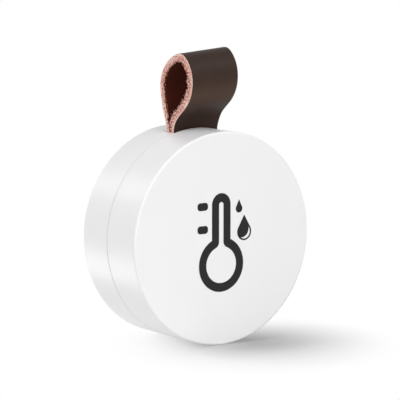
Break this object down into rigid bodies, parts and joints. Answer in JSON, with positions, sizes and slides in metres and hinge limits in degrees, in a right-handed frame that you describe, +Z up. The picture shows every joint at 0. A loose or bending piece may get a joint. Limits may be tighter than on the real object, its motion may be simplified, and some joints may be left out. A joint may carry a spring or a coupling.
{
  "type": "temperature humidity sensor",
  "caption": "Round puck-shaped wireless temperature and humidity sensor that stands on its rim, with a leather hanging loop and a coin cell behind a pull-off rear cover.",
  "frame": {"origin": "on the floor under the middle of the round body, which stands on its rim", "axes": "+Z up through the strap, -Y out of the printed front face, +X to the right seen from the front"},
  "size_m": [0.04, 0.0171, 0.0545],
  "materials": {
    "housing_white": "satin",
    "face_ink": "matte",
    "strap_leather": "satin",
    "pin_steel": "ground",
    "board_laminate": "satin",
    "chip_resin": "matte",
    "crystal_lid": "satin",
    "antenna_ceramic": "matte",
    "solder_tin": "satin",
    "capacitor_ceramic": "satin",
    "membrane_ptfe": "matte",
    "led_resin": "gloss",
    "switch_can": "satin",
    "button_resin": "matte",
    "holder_resin": "matte",
    "contact_plate": "satin",
    "cell_nickel": "satin",
    "cell_gasket": "matte"
  },
  "bodies": {
    "case": {"front_case": "housing_white", "face_print": "face_ink", "strap_tails": "strap_leather", "strap_pin": "pin_steel", "board_screws": "pin_steel", "circuit_board": "board_laminate", "radio_chip": "chip_resin", "climate_sensor": "chip_resin", "resistors": "chip_resin", "radio_crystal": "crystal_lid", "clock_crystal": "crystal_lid", "chip_antenna": "antenna_ceramic", "antenna_caps": "solder_tin", "capacitor_caps": "solder_tin", "capacitors": "capacitor_ceramic", "vent_membrane": "membrane_ptfe", "status_led": "led_resin", "pairing_switch": "switch_can", "battery_holder": "holder_resin", "positive_contact": "contact_plate", "negative_contact": "contact_plate", "coin_cell": "cell_nickel", "coin_cell_cap": "cell_nickel", "coin_cell_gasket": "cell_gasket"},
    "rear_cover": {"rear_cover": "housing_white"},
    "strap": {"strap_loop": "strap_leather"},
    "pairing_button": {"pairing_button": "button_resin"}
  },
  "joints": [
    {"name": "strap_bend", "type": "hinge", "parent": "case", "child": "strap", "pos_m": [0, 0.0014, 0.0412], "axis": [1, 0, 0], "range_deg": [-60, 40], "stiffness_Nm_per_rad": 0.004},
    {"name": "cover_pull", "type": "slide", "parent": "case", "child": "rear_cover", "axis": [0, 1, 0], "range_m": [0, 0.014]},
    {"name": "pairing_press", "type": "slide", "parent": "case", "child": "pairing_button", "axis": [0, -1, 0], "range_m": [0, 0.00025], "stiffness_N_per_m": 4000}
  ]
}
